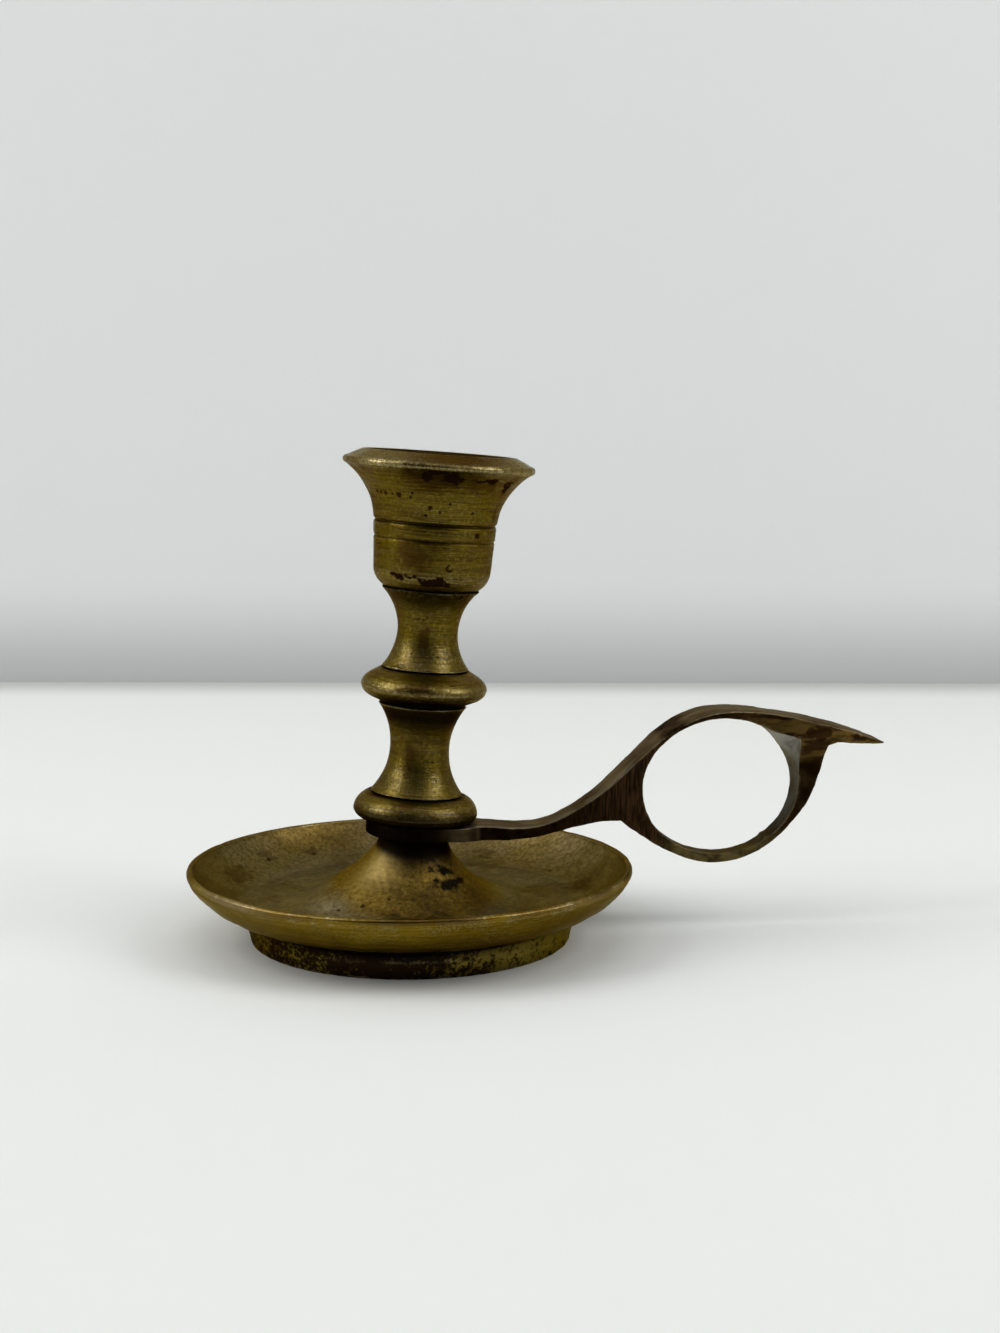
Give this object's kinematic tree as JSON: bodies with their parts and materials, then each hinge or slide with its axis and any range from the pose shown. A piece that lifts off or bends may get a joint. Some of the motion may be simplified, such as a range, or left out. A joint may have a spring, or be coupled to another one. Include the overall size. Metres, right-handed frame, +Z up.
{
  "type": "chamberstick with finger loop",
  "caption": "Aged brass chamberstick: footed drip pan with a hollow cone boss, turned baluster stem, flared candle cup and a cast finger loop handle with a leaf thumb rest.",
  "frame": {"origin": "centre of the foot ring's rim on the table", "axes": "+Z up along the drip pan's axis, +X along the finger loop handle towards its thumb rest, +Y to its left; the handle is symmetric about the XZ plane, in which the stem leans 4.13 degrees towards +X"},
  "size_m": [0.1594, 0.1, 0.1098],
  "materials": {
    "pan_brass": "aged brass, matt grey-brown and speckled inside the dish, smoother olive yellow outside, worn bright lip",
    "handle_brass": "dark cast brass with a grey-brown top face and coarsely filed dark brown sides",
    "stem_brass": "aged turned brass with fine lathe lines, dark in the quirks and bright on the edges",
    "cup_brass": "olive aged turned brass with fine lathe lines, dark brown patches and a worn rim",
    "rod_steel": "dull grey steel thread with a brown film",
    "washer_brass": "dull flat brass",
    "nut_brass": "dull brass with worn corners"
  },
  "bodies": {
    "root": {"drip_pan": "pan_brass", "finger_loop_handle": "handle_brass", "stem": "stem_brass", "candle_cup": "cup_brass", "tie_rod": "rod_steel", "washer": "washer_brass", "nut": "nut_brass"}
  },
  "joints": []
}
